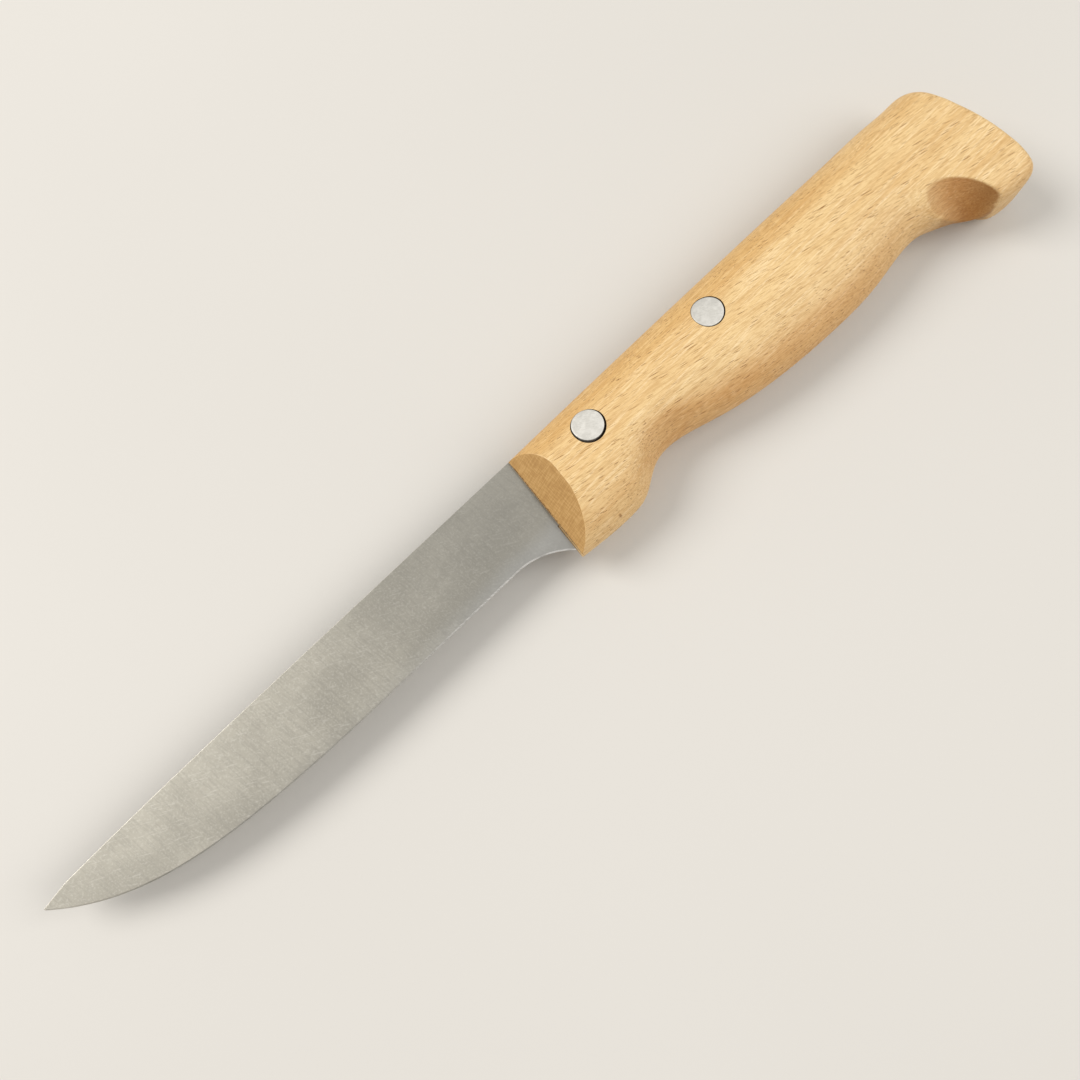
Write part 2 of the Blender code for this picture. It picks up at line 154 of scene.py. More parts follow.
HEAD_HEIGHT = 1.7  # at the head's middle
TUBE_RADIUS = 2.3
BORE_RADIUS = 1.55
PIN_RADIUS = 1.25
HOLE_GAP = 0.3
HEAD_INSET = 0.05  # heads lie this much below the wood
HEAD_ROUND = 0.16
# The counterbores were drilled a little wide and off centre: a dark crescent shows beside each head
RIVETS = {
    "front": {"place": (17.5, -8.4), "head": 3.74, "bore": 4.07, "shift": (-0.08, -0.32)},
    "rear": {"place": (55.8, -8.3), "head": 3.74, "bore": 3.90, "shift": (0.06, -0.10)},
}

# ---------------------------------------------------------------- fineness of the meshes

SPINE_POINTS = 10
OUTLINE_STEPS = 1200
SECTION_SAMPLES = 400
SKIN_LINES = 120  # from spine to belly on one side
ROW_STEP = 0.45  # mm between rows along the handle
FINE_ROW_STEP = 0.25  # and over the beak's scoop
FINE_ROWS = (103.0, 130.0)
DENSE_ROWS = 1100  # rows worked out first, from which the final ones are taken
BUTT_EDGE_ROWS = 8
FACET_ROWS = 10
STRIP_ROWS = 4  # across the front, between the two facets' feet
CAP_ROWS = 10  # across the butt's end
ARC_ROUND = 0.22  # rounding along the facet's rim
ARC_SHARE = 0.4  # but never more than this share of the facet's reach
ARC_STEPS = 4
BLADE_STEPS = 260
CORNER_STEPS = 12
ROUND_STEPS = 96
HEAD_RINGS = 10
HEAD_CENTRE = 0.02  # radius of the innermost ring, as a share of the head's flat
HEAD_ROUND_STEPS = 4
CUTTER_REACH = 30.0
CLOSE = 2e-7  # metres within which two points are one
COLLAPSED = 1e-7  # metres: an edge shorter than this is no edge
SLIVER = 1.5e-6  # metres: anything narrower that a cut leaves behind is closed up
TINY = 1e-9  # keeps a division by a length from failing where there is none
UNMOVED = 1e-5  # a scoop that would push a point less than this leaves it alone


def spline(points, steps):
    """Points along the smooth curve through a few points: a natural cubic by chord length."""
    points = np.array(points)
    knots = np.concatenate([[0], np.cumsum(np.linalg.norm(np.diff(points, axis=0), axis=1))])
    gaps = np.diff(knots)
    last = len(points) - 1
    system = np.eye(last + 1)
    bends = np.zeros_like(points)
    for i in range(1, last):
        system[i, i - 1 : i + 2] = gaps[i - 1], 2 * (gaps[i - 1] + gaps[i]), gaps[i]
        bends[i] = 6 * (
            (points[i + 1] - points[i]) / gaps[i] - (points[i] - points[i - 1]) / gaps[i - 1]
        )
    bends = np.linalg.solve(system, bends)
    along = np.linspace(0, knots[-1], steps + 1)
    i = np.clip(np.searchsorted(knots, along, side="right") - 1, 0, last - 1)
    gap = gaps[i][:, None]
    ahead = (knots[i + 1] - along)[:, None]
    behind = (along - knots[i])[:, None]
    return (
        (bends[i] * ahead**3 + bends[i + 1] * behind**3) / (6 * gap)
        + (points[i] / gap - bends[i] * gap / 6) * ahead
        + (points[i + 1] / gap - bends[i + 1] * gap / 6) * behind
    )


def ease(low, high, value):
    """0 at low, 1 at high, smooth between and level beyond."""
    part = np.clip((value - low) / (high - low), 0, 1)
    return part * part * (3 - 2 * part)


def soft_positive(value, softness):
    """Value where it is well above 0, 0 where it is well below, and rounded between."""
    return softness * np.logaddexp(0, value / softness)


def handle_outline():
    """The handle's spine line, butt end and belly line, which meet in its two rounded corners."""
    middle = HANDLE_LENGTH / 2
    spine = [
        (x, -SPINE_CROWN * ((x - middle) / middle) ** 2)
        for x in np.linspace(0, BUTT[0][0], SPINE_POINTS)
    ]
    whole = spline(spine + list(BUTT[1:]) + list(BELLY[-2::-1]), OUTLINE_STEPS)
    corners = [
        int(np.linalg.norm(whole - np.array(corner), axis=1).argmin())
        for corner in (BUTT[3], BUTT[-3])
    ]
    return whole[: corners[0] + 1], whole[corners[0] : corners[1] + 1], whole[corners[1] :][::-1]


SPINE_LINE, END_LINE, BELLY_LINE = handle_outline()

# Where the CAD frame holds the point that the lengths are measured from
HANDLE_LOW, HANDLE_HIGH = (np.array(corner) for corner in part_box("handle"))
ORIGIN = Vector(
    (
        HANDLE_HIGH[0] - END_LINE[:, 0].max() * MM,
        HANDLE_LOW[1] - min(BELLY_LINE[:, 1].min(), END_LINE[:, 1].min()) * MM,
        (HANDLE_LOW[2] + HANDLE_HIGH[2]) / 2,
    )
)


def belly_y(x):
    """The belly line's Y at x."""
    return np.interp(x, BELLY_LINE[:, 0], BELLY_LINE[:, 1])


def section(width, x, steps):
    """Half of the handle's cross-section at x: depths below the spine and half thicknesses."""
    at_butt = ease(*BUTT_BLEND, x)
    spine_power = SPINE_ROUND + (BUTT_SPINE_ROUND - SPINE_ROUND) * at_butt
    belly_power = BELLY_ROUND + (BUTT_BELLY_ROUND - BELLY_ROUND) * at_butt
    turn = np.linspace(0, math.pi, SECTION_SAMPLES)
    across = np.cos(turn)
    powers = np.where(across > 0, spine_power, belly_power)
    reach = np.where(across > 0, CREST_DEPTH, width - CREST_DEPTH)
    depth = CREST_DEPTH - across * reach
    height = (HALF_THICKNESS + SIDE_BULGE) * (1 - np.abs(across) ** powers) ** (1 / powers)
    height = HALF_THICKNESS - soft_positive(HALF_THICKNESS - height, LAND_EASE)
    length = np.concatenate([[0], np.cumsum(np.hypot(np.diff(depth), np.diff(height)))])
    even = np.linspace(0, length[-1], steps + 1)
    return np.interp(even, length, depth), np.interp(even, length, height)


def surface_height(x, y):
    """Half the handle's thickness at a point of its side."""
    depth, height = section(-belly_y(x), x, SECTION_SAMPLES)
    return np.interp(-y, depth, height)


def skin_row(place):
    """Points of the handle's upper side from spine to belly, at a share of its length."""
    top_x = SPINE_LINE[-1, 0] * place
    low_x = BELLY_LINE[0, 0] + (BELLY_LINE[-1, 0] - BELLY_LINE[0, 0]) * place
    top = np.array([top_x, np.interp(top_x, SPINE_LINE[:, 0], SPINE_LINE[:, 1])])
    low = np.array([low_x, belly_y(low_x)])
    width = np.linalg.norm(low - top)
    depth, height = section(width, (top_x + low_x) / 2, SKIN_LINES)
    share = (depth / width)[:, None]
    points = top + (low - top) * share
    chord = END_LINE[0] + (END_LINE[-1] - END_LINE[0]) * share
    end_length = np.linspace(0, 1, len(END_LINE))
    end = np.stack([np.interp(share[:, 0], end_length, END_LINE[:, k]) for k in (0, 1)], axis=1)
    points = points + (end - chord) * 2 * ease(END_BLEND, 2 - END_BLEND, place)  # all of it at 1
    away = np.linalg.norm(points[:, None, :] - END_LINE[None, :, :], axis=2).min(axis=1)
    away = np.minimum(away, BUTT_EDGE_RADIUS)
    rounding = BUTT_EDGE_RADIUS - np.sqrt(BUTT_EDGE_RADIUS**2 - (BUTT_EDGE_RADIUS - away) ** 2)
    height = height * (1 - rounding / HALF_THICKNESS)
    return np.column_stack([points, height])


def scooped(points, scoop, side):
    """Points moved in to the surface that a tilted sanding drum leaves, and how far each moved."""
    axis = np.array(scoop["axis"]) / np.linalg.norm(scoop["axis"])
    apart = points - np.array((*scoop["centre"], SCOOP_HEIGHT))
    apart = apart - (apart @ axis)[:, None] * axis
    away = np.linalg.norm(apart, axis=1)
    push = soft_positive(scoop["radius"] - away, scoop["softness"][side])
    inward = np.array((0, -CREST_DEPTH, 0)) - points * (0, 1, 1)
    inward /= np.maximum(np.linalg.norm(inward, axis=1), TINY)[:, None]
    across = inward - (inward @ axis)[:, None] * axis
    a = (across**2).sum(axis=1)
    b = (apart * across).sum(axis=1)
    c = away**2 - (away + push) ** 2
    move = (np.sqrt(b * b - a * c) - b) / a
    move = np.where((push > UNMOVED) & (b > 0), move, 0)
    return points + inward * move[:, None], move


def skin_places():
    """Shares of the handle's length at which the skin has its rows, and those of the butt's edge."""
    edge = 1 - BUTT_EDGE_RADIUS / HANDLE_LENGTH
    stops = [0.0]
    while stops[-1] < HANDLE_LENGTH * edge:
        fine = FINE_ROWS[0] < stops[-1] < FINE_ROWS[1]
        stops.append(stops[-1] + (FINE_ROW_STEP if fine else ROW_STEP))
    even = np.array(stops) / stops[-1] * edge
    turn = np.linspace(0, math.pi / 2, BUTT_EDGE_ROWS + 1)[1:]
    return even, 1 - (1 - edge) * (1 - np.sin(turn))


def handle_grid():
    """The upper side of the handle as one grid: front strip, facet, rounded arc, side and butt edge."""
    even, tail = skin_places()
    dense = np.concatenate([np.linspace(0, even[-1], DENSE_ROWS), tail])
    rows = np.array([skin_row(place) for place in dense])
    columns = []
    facet = []
    foot_row = []
    for line in rows.transpose(1, 0, 2):
        x, y, z = line.T
        kept = x - FRONT_SLANT * y - FACET_RUN * np.maximum(z - FACET_START, 0)
        first = int(np.argmax(kept > 0)) if kept[0] <= 0 else 0
        if first:
            part = -kept[first - 1] / (kept[first] - kept[first - 1])
            start = dense[first - 1] + part * (dense[first] - dense[first - 1])
        else:
            start = 0.0

        def at(place):
            return np.column_stack([np.interp(place, dense, line[:, k]) for k in range(3)])

        arc = at([start])[0]
        foot = arc.copy()
        foot[2] = min(arc[2], FACET_START)
        foot[0] = FRONT_SLANT * arc[1]
        reach = np.linalg.norm(foot - arc)
        rounding = min(ARC_ROUND, ARC_SHARE * reach)
        begin = start + rounding / HANDLE_LENGTH
        side = at(begin + (even[-1] - begin) * even / even[-1])
        near = arc + (foot - arc) * (rounding / reach if reach > 0 else 0)
        slope = np.linspace(0, 1, FACET_ROWS + 1)[:-1, None]
        bend = np.linspace(0, 1, ARC_STEPS + 1)[:-1, None]
        flat = foot + (near - foot) * slope
        arch = near * (1 - bend) ** 2 + 2 * arc * bend * (1 - bend) + side[0] * bend**2
        columns.append(np.concatenate([flat, arch, side, at(tail)]))
        behind = np.zeros(len(side) + len(tail))
        facet.append(np.concatenate([np.ones(len(flat)), np.linspace(1, 0, ARC_STEPS), behind]))
        foot_row.append(np.eye(1, len(columns[-1]))[0])
    marks = {"facet": np.array(facet).T, "foot": np.array(foot_row).T}
    return np.array(columns).transpose(1, 0, 2), marks


def new_mesh(name, points, faces, marks=None):
    """A mesh object from points in millimetres, with its outside facing out.

    Marks are numbers for each point, which the materials read.
    """
    mesh = bpy.data.meshes.new(name)
    mesh.from_pydata((np.array(points) * MM + np.array(ORIGIN)).tolist(), [], faces)
    for label, values in (marks or {}).items():
        mark = mesh.attributes.new(label, "FLOAT", "POINT")
        mark.data.foreach_set("value", np.asarray(values, dtype=np.float32))
    build = bmesh.new()
    build.from_mesh(mesh)
    bmesh.ops.remove_doubles(build, verts=build.verts, dist=CLOSE)
    bmesh.ops.dissolve_degenerate(build, edges=build.edges, dist=COLLAPSED)
    bmesh.ops.recalc_face_normals(build, faces=build.faces)
    build.to_mesh(mesh)
    build.free()
    piece = bpy.data.objects.new(name, mesh)
    bpy.context.scene.collection.objects.link(piece)
    return piece


def grid_faces(index):
    """Quads over a grid of vertex numbers, leaving out those that have closed up."""
    faces = []
    for near, far in zip(index[:-1], index[1:]):
        for i in range(len(near) - 1):
            corners = (near[i], far[i], far[i + 1], near[i + 1])
            face = list(dict.fromkeys(map(int, corners)))
            if len(face) > 2:
                faces.append(face)
    return faces


# The sanded strip between the beak's scoop and the belly, and how strongly it and the scoop are
# darkened, partly for their end grain and partly with painted shade
STRIP_BELOW = (-28.0, -31.0)
STRIP_INWARD = (8.6, 7.4)
STRIP_FRONT = (100.0, 112.0)
STRIP_BACK = (126.0, 124.0)
BEAK_TONE = (1.0, 0.5)  # near and far
TONE_BLEND = (1.0, 6.0)  # distance from the middle plane over which the far side takes its own tone


def under_beak(points):
    """How strongly each point belongs to the strip under the beak's scoop."""
    x, y, z = points.T
    below = ease(*STRIP_BELOW, y) * ease(*STRIP_INWARD, z)
    return below * ease(*STRIP_FRONT, x) * ease(*STRIP_BACK, x)


def make_handle():
    """The handle: its two sides, the strip and cap between them, the bores and the slot for the tang."""
    grid, marks = handle_grid()
    count, lines = grid.shape[:2]
    points = grid.reshape(-1, 3)
    marks = {name: [mark.reshape(-1)] * 2 for name, mark in marks.items()}
    marks.update({name: [] for name in SCOOPS})
    sides = []
    for side in (0, 1):
        shaped = points
        for name, scoop in SCOOPS.items():
            shaped, moved = scooped(shaped, scoop, side)
            marks[name].append(moved)
        # The beak's mark darkens for end grain and with painted shade, less on the far side
        tone = 1 - (1 - BEAK_TONE[side]) * ease(*TONE_BLEND, shaped[:, 2])
        sanded = np.maximum(np.minimum(marks["beak"][side], 1), under_beak(shaped))
        marks["beak"][side] = sanded * tone
        sides.append(shaped)
    upper = np.arange(len(points)).reshape(count, lines)
    lower = upper + len(points)
    lower[:, 0] = upper[:, 0]
    lower[:, -1] = upper[:, -1]
    points = sides[0]
    every = [points, sides[1] * (1, 1, -1)]
    faces = grid_faces(upper) + grid_faces(lower[:, ::-1])
    total = 2 * len(points)
    for row, steps in ((0, STRIP_ROWS), (count - 1, CAP_ROWS)):
        top = points[upper[row]]
        sheet = [upper[row]]
        for step in range(1, steps):
            every.append(top * (1, 1, 1 - 2 * step / steps))
            sheet.append(np.arange(total, total + lines))
            total += lines
        sheet.append(lower[row])
        faces += grid_faces(np.array(sheet))
    extra = total - 2 * len(points)
    for name in marks:
        marks[name] = np.concatenate([*marks[name], np.zeros(extra)])
    handle = new_mesh("handle_wood", np.concatenate(every), faces, marks)
    bores = turned_many("bores", [bore_profile(rivet) for rivet in RIVETS.values()])
    cut(handle, bores)
    cut(handle, slab("kerf", kerf_outline(), HALF_STOCK + KERF_GAP))
    return handle


def cut(piece, tool, operation="DIFFERENCE"):
    """Cuts the tool out of a piece, or joins it on, for good, and closes the slivers this leaves."""
    change = piece.modifiers.new("Cut", "BOOLEAN")
    change.operation = operation
    change.solver = "EXACT"
    change.object = tool
    bpy.context.view_layer.update()
    graph = bpy.context.evaluated_depsgraph_get()
    mesh = bpy.data.meshes.new_from_object(piece.evaluated_get(graph))
    piece.modifiers.clear()
    piece.data = mesh
    bpy.data.objects.remove(tool, do_unlink=True)
    build = bmesh.new()
    build.from_mesh(piece.data)
    bmesh.ops.triangulate(build, faces=[face for face in build.faces if len(face.verts) > 4])
    bmesh.ops.remove_doubles(build, verts=build.verts, dist=SLIVER)
    bmesh.ops.dissolve_degenerate(build, edges=build.edges, dist=SLIVER)
    build.to_mesh(piece.data)
    build.free()


def circle(x, y, radius, height):
    """Points round a level circle."""
    turn = np.linspace(0, 2 * math.pi, ROUND_STEPS, endpoint=False)
    return [(x + radius * math.cos(a), y + radius * math.sin(a), height) for a in turn]


def ring_index(start, count):
    """Vertex numbers of a stack of circles, each closed by its first vertex again."""
    index = start + np.arange(count * ROUND_STEPS).reshape(count, ROUND_STEPS)
    return np.concatenate([index, index[:, :1]], axis=1)


def turned_many(name, turnings):
    """One mesh of several turned solids, each given by its axis (x, y) and profile (radius, height)."""
    points = []
    faces = []
    for (x, y), profile in turnings:
        rings = ring_index(len(points), len(profile) - 2).tolist()
        for radius, height in profile[1:-1]:
            points += circle(x, y, radius, height)
        ends = len(points)
        points += [(x, y, profile[0][1]), (x, y, profile[-1][1])]
        faces += grid_faces(rings)
        for i in range(ROUND_STEPS):
            faces.append((ends, rings[0][i], rings[0][i + 1]))
            faces.append((ends + 1, rings[-1][i + 1], rings[-1][i]))
    return new_mesh(name, points, faces)


def bore_profile(rivet):
    """A rivet's hole through the handle, with a counterbore for the head on each side."""
    x, y = rivet["place"]
    floor = surface_height(x, y) - HEAD_HEIGHT - HOLE_GAP
    hole = TUBE_RADIUS + HOLE_GAP
    wide = rivet["bore"]
    centre = (x + rivet["shift"][0], y + rivet["shift"][1])
    return centre, [
        (0, CUTTER_REACH),
        (wide, CUTTER_REACH),
        (wide, floor),
        (hole, floor),
        (hole, -floor),
        (wide, -floor),
        (wide, -CUTTER_REACH),
        (0, -CUTTER_REACH),
    ]


def tang_outline(extra):
    """The tang seen from its side, grown by extra below and at its end. It is open towards the spine."""
    end = TANG_LENGTH + extra
    radius = TANG_END_RADIUS + extra
    low = -TANG_DEPTH[1] - extra
    points = [(0.0, -TANG_DEPTH[0] - extra)]
    for i in range(CORNER_STEPS + 1):
        angle = math.pi / 2 * (i / CORNER_STEPS - 1)
        x = end - radius + radius * math.cos(angle)
        points.append((x, low + radius + radius * math.sin(angle)))
    return points


def kerf_outline():
    """The slot sawn for the tang, run out past the spine and the handle's front."""
    front = [(-CUTTER_REACH, CUTTER_REACH), (-CUTTER_REACH, -TANG_DEPTH[0] - KERF_GAP)]
    return front + tang_outline(KERF_GAP) + [(TANG_LENGTH + KERF_GAP, CUTTER_REACH)]


def slab(name, outline, half):
    """A flat plate of a closed outline, half its thickness either side of the middle plane."""
    count = len(outline)
    points = [(x, y, side * half) for side in (1, -1) for x, y in outline]
    faces = [list(range(count)), list(range(2 * count - 1, count - 1, -1))]
    for i in range(count):
        j = (i + 1) % count
        faces.append((i, j, count + j, count + i))
    return new_mesh(name, points, faces)


# ---------------------------------------------------------------- blade


def blade_half(x, y):
    """Half the blade's thickness at a point of its side."""
    return HALF_STOCK + DISTAL_SLOPE * min(x, 0) + GRIND_SLOPE * (y + SPINE_DROP)


def blade_spine_y(x):
    """The blade's spine at x: level at first, drooping to the break, then straight to the point."""
    if x > SPINE_BREAK[0]:
        droop = (x / SPINE_BREAK[0]) ** SPINE_DROOP
        return -SPINE_DROP + (SPINE_BREAK[1] + SPINE_DROP) * droop
    share = (x - SPINE_BREAK[0]) / (TIP[0] - SPINE_BREAK[0])
    return SPINE_BREAK[1] + (TIP[1] - SPINE_BREAK[1]) * share


def edge_point(share):
    """A point of the cutting edge, from the heel at 0 to the tip at 1."""
    whole_turn = math.radians(HEEL_TURN)
    heel_depth = EDGE_DEPTH + HEEL_RADIUS * (1 - math.cos(whole_turn))
    heel_x = -FRONT_SLANT * heel_depth - HEEL_GAP
    arc_length = HEEL_RADIUS * whole_turn
    arc_start = heel_x - HEEL_RADIUS * math.sin(whole_turn)
    along = share * BLADE_LENGTH
    if along < arc_length:
        turn = whole_turn - along / HEEL_RADIUS
        y = -EDGE_DEPTH - HEEL_RADIUS * (1 - math.cos(turn))
        return arc_start + HEEL_RADIUS * math.sin(turn), y
    x = arc_start + (TIP[0] - arc_start) * (along - arc_length) / (BLADE_LENGTH - arc_length)
    if x > STRAIGHT_END:
        return x, -EDGE_DEPTH
    reach = (x - STRAIGHT_END) / (TIP[0] - STRAIGHT_END)
    rise = sum(part * reach**power for part, power in SWEEP)
    return x, -EDGE_DEPTH + (EDGE_DEPTH + TIP[1]) * rise


def blade_ring(top_x, top_y, low_x, low_y, bevel):
    """One closed section of the blade: rounded spine corners, flat sides and the bevel to the edge."""
    depth = math.hypot(top_x - low_x, top_y - low_y)
    corner = min(SPINE_EASE, depth / 5)  # both give way where the blade is very narrow
    bevel = min(bevel, depth / 2)
    lean = (low_x - top_x) / (low_y - top_y)
    stops = [
        (top_y - corner * (1 - math.cos(turn)), corner * (1 - math.sin(turn)))
        for turn in SPINE_EASE_TURNS
    ]
    stops += [(low_y + bevel + BEVEL_LINE, 0), (low_y + bevel, 0)]
    upper = []
    for y, off in stops:
        x = top_x + lean * (y - top_y)
        upper.append((x, y, blade_half(x, y) - off))
    upper.append((low_x, low_y, EDGE_FLAT))
    return upper + [(x, y, -z) for x, y, z in upper[::-1]]


def loft(name, rings, marks=None):
    """A closed solid through rings of points, whose two ends are closed by strips from side to side."""
    count = len(rings[0])
    index = np.arange(len(rings) * count).reshape(len(rings), count)
    faces = grid_faces(np.concatenate([index, index[:, :1]], axis=1))
    for row in (index[0].tolist(), index[-1].tolist()):
        for i in range(count // 2 - 1):
            faces.append((row[i], row[i + 1], row[count - i - 2], row[count - i - 1]))
    return new_mesh(name, [point for ring in rings for point in ring], faces, marks)


def make_blade():
    """The blade, lofted from heel to point, with the tang joined on and its two holes."""
    rings = []
    heel_x = edge_point(0)[0]
    for i in range(BLADE_STEPS + 1):
        share = TIP_SHARE * i / BLADE_STEPS
        low_x, low_y = edge_point(share)
        lean = max(0.0, 1 - (heel_x - low_x) / HEEL_RADIUS)  # the first ones follow the front's slant
        top_x = low_x + lean * (-SPINE_DROP * FRONT_SLANT - HEEL_GAP - heel_x)
        ahead_x, ahead_y = edge_point(share + 1 / BLADE_STEPS)
        slope = (ahead_y - low_y) / (ahead_x - low_x)
        bevel = BEVEL_WIDTH * math.hypot(1, slope)
        rings.append(blade_ring(top_x, blade_spine_y(top_x), low_x, low_y, bevel))
    half = len(rings[0]) // 2
    on_bevel = [half - 2 <= i < half + 2 for i in range(2 * half)]
    bevelled = np.tile(on_bevel, len(rings))
    blade = loft("blade_steel", rings, {"bevel": bevelled})
    rings = []
    top = -SPINE_DROP - TANG_INSET
    for x, y in [(-TANG_OVERLAP, -TANG_DEPTH[0])] + tang_outline(0)[:-1]:
        ends = [(x, end, blade_half(x, end) - TANG_INSET) for end in (top, y)]
        rings.append(ends + [(a, b, -c) for a, b, c in ends[::-1]])
    cut(blade, loft("tang", rings, {"bevel": np.zeros(sum(map(len, rings)))}), "UNION")
    column = [(radius, CUTTER_REACH) for radius in (0, TUBE_RADIUS + HOLE_GAP)]
    column += [(radius, -height) for radius, height in column[::-1]]
    cut(blade, turned_many("tang_holes", [(rivet["place"], column) for rivet in RIVETS.values()]))
    return blade


# ---------------------------------------------------------------- rivets


def make_rivet_half(name, rivet, half):
    """A rivet half: a head ground to the handle's side, on a tube above or a solid pin below."""
    x, y = rivet["place"]
    radius = rivet["head"]
    side = 1 if half == "tube" else -1
    under = surface_height(x, y) - HEAD_HEIGHT
    flat = radius - HEAD_ROUND
    rings = [(r, 0.0) for r in np.linspace(HEAD_CENTRE, 1, HEAD_RINGS) * flat]
    for step in range(1, HEAD_ROUND_STEPS + 1):
        angle = math.pi / 2 * step / HEAD_ROUND_STEPS
        rings.append((flat + HEAD_ROUND * math.sin(angle), HEAD_ROUND * (1 - math.cos(angle))))
    points = []
    for r, drop in rings:
        for px, py, _ in circle(x, y, r, 0.0):
            points.append((px, py, side * (surface_height(px, py) - HEAD_INSET - drop)))
    if half == "tube":
        body = [
            (radius, under),
            (TUBE_RADIUS, under),
            (TUBE_RADIUS, -under + HOLE_GAP),
            (BORE_RADIUS, -under + HOLE_GAP),
            (BORE_RADIUS, under),
        ]
    else:
        body = [(radius, -under), (PIN_RADIUS, -under), (PIN_RADIUS, under - HOLE_GAP)]
    for r, height in body:
        points += circle(x, y, r, height)
    index = ring_index(0, len(points) // ROUND_STEPS)
    faces = grid_faces(index)
    faces += [index[0, :-1].tolist(), index[-1, :-1].tolist()]
    return new_mesh(name, points, faces)


# ---------------------------------------------------------------- materials


class Graph:
    """A short way to lay out a material's nodes."""

    def __init__(self, name):
        self.material = bpy.data.materials.new(name)
        self.material.use_nodes = True
        self.tree = self.material.node_tree
        self.shader = self.tree.nodes["Principled BSDF"]

    def add(self, kind, settings=None, **inputs):
        """A new node with its settings, and its inputs by name."""
        node = self.tree.nodes.new("ShaderNode" + kind)
        for key, value in (settings or {}).items():
            setattr(node, key, value)
        for key, value in inputs.items():
            self.set(node.inputs[key.replace("_", " ")], value)
        return node

    def set(self, socket, value):
        """Links a node or an output to a socket, or puts a number or colour in it."""
        if isinstance(value, bpy.types.NodeSocket):
            self.tree.links.new(value, socket)
        elif isinstance(value, bpy.types.Node):
            self.tree.links.new(value.outputs[0], socket)
        else:
            socket.default_value = value

    def place(self, scale, turn=0.0):
        """Object coordinates, turned in degrees about Z and then scaled to cells per millimetre."""
        place = self.add("TexCoord").outputs["Object"]
        if turn:
            settings = {"rotation_type": "Z_AXIS"}
            place = self.add("VectorRotate", settings, Vector=place, Angle=math.radians(turn))
        node = self.add("VectorMath", {"operation": "MULTIPLY"}, Vector=place)
        node.inputs[1].default_value = tuple(s / MM for s in scale)
        return node.outputs[0]

    def coordinates(self):
        """Object X and Y, in metres."""
        return self.add("SeparateXYZ", Vector=self.add("TexCoord").outputs["Object"]).outputs[:2]

    def noise(self, scale, turn=0.0, detail=2.0, rough=0.5, distortion=0.0):
        numbers = {"Scale": 1.0, "Detail": detail, "Roughness": rough, "Distortion": distortion}
        return self.add("TexNoise", Vector=self.place(scale, turn), **numbers).outputs["Fac"]

    def ramp(self, value, low, high, to_low=0.0, to_high=1.0):
        """Value taken from low..high to to_low..to_high, smoothly and clamped."""
        numbers = {"From_Min": low, "From_Max": high, "To_Min": to_low, "To_Max": to_high}
        settings = {"interpolation_type": "SMOOTHSTEP"}
        return self.add("MapRange", settings, Value=value, **numbers).outputs[0]

    def math(self, operation, a, b):
        node = self.add("Math", {"operation": operation})
        self.set(node.inputs[0], a)
        self.set(node.inputs[1], b)
        return node.outputs[0]

    def product(self, first, *others):
        for value in others:
            first = self.math("MULTIPLY", first, value)
        return first

    def mix(self, factor, a, b, blend="MIX"):
        """Colour a at factor 0 and b at 1, each an output or (red, green, blue)."""
        node = self.add("Mix", {"data_type": "RGBA", "blend_type": blend})
        self.set(node.inputs[0], factor)
        for socket, value in zip(node.inputs[6:8], (a, b)):
            self.set(socket, (*value, 1) if isinstance(value, tuple) else value)
        return node.outputs[2]

    def off_axis(self, x, y):
        """Metres from an upright line through a point of the knife's plane."""
        place = self.add("TexCoord").outputs["Object"]
        flat = self.add("VectorMath", {"operation": "MULTIPLY"}, Vector=place)
        flat.inputs[1].default_value = (1, 1, 0)
        away = self.add("VectorMath", {"operation": "DISTANCE"})
        self.set(away.inputs[0], flat)
        away.inputs[1].default_value = (ORIGIN.x + x * MM, ORIGIN.y + y * MM, 0)
        return away.outputs["Value"]

    def mark(self, name):
        return self.add("Attribute", {"attribute_name": name}).outputs["Fac"]

    def bump(self, height, distance, strength):
        """A bumped normal, with its distance in millimetres."""
        node = self.add("Bump", Height=height, Distance=distance * MM, Strength=strength)
        return node.outputs[0]

    def finish(self, **inputs):
        """The material, once the shader's inputs are set."""
        for key, value in inputs.items():
            self.set(self.shader.inputs[key.replace("_", " ")], value)
        return self.material


# Colours are linear red, green and blue, and tints are colours to multiply by
BEECH_LIGHT = (0.81, 0.59, 0.30)
BEECH_MID = (0.74, 0.495, 0.225)
BEECH_DEEP = (0.52, 0.30, 0.105)
BEECH_SILK = (0.93, 0.74, 0.46)
# Painted shade, multiplied in on the sides turned towards the spine, towards the belly and in the finger
# notch
SPINE_SHADE_TINT = (0.88, 0.78, 0.62)
BELLY_SHADE_TINT = (0.84, 0.70, 0.57)
FLECK = (0.26, 0.11, 0.022)
SANDED_PALE = (0.86, 0.69, 0.56)
SANDED_GRAIN_AND_SHADE = (0.46, 0.30, 0.13)
FACET_GRAIN_AND_SHADE = (0.50, 0.29, 0.100)
FACET_PALE = (0.66, 0.42, 0.18)
FACET_DEEP = (0.36, 0.185, 0.06)
SCORCH = (0.10, 0.05, 0.02)
BORE_SHADE = (0.05, 0.025, 0.012)

# Where the wood's tints and its painted shade come in or go, in millimetres along X or Y
PAST_GUARD = (12.0, 34.0)
PAST_NOTCH = (26.0, 40.0)
NEAR_BUTT = (80.0, 118.0)
SANDED_ALONG = (108.0, 121.0)
SANDED_SHADE_DOWN = (-24.0, -35.0)
SANDED_LOW = (-33.0, -40.0)
BORE_BLEND = (0.03, 0.01)  # outside the bore
KNOCK = (9.1, -27.6)  # a small dark bruise on the side near the belly
KNOCK_SIZE = (0.8, 0.45)

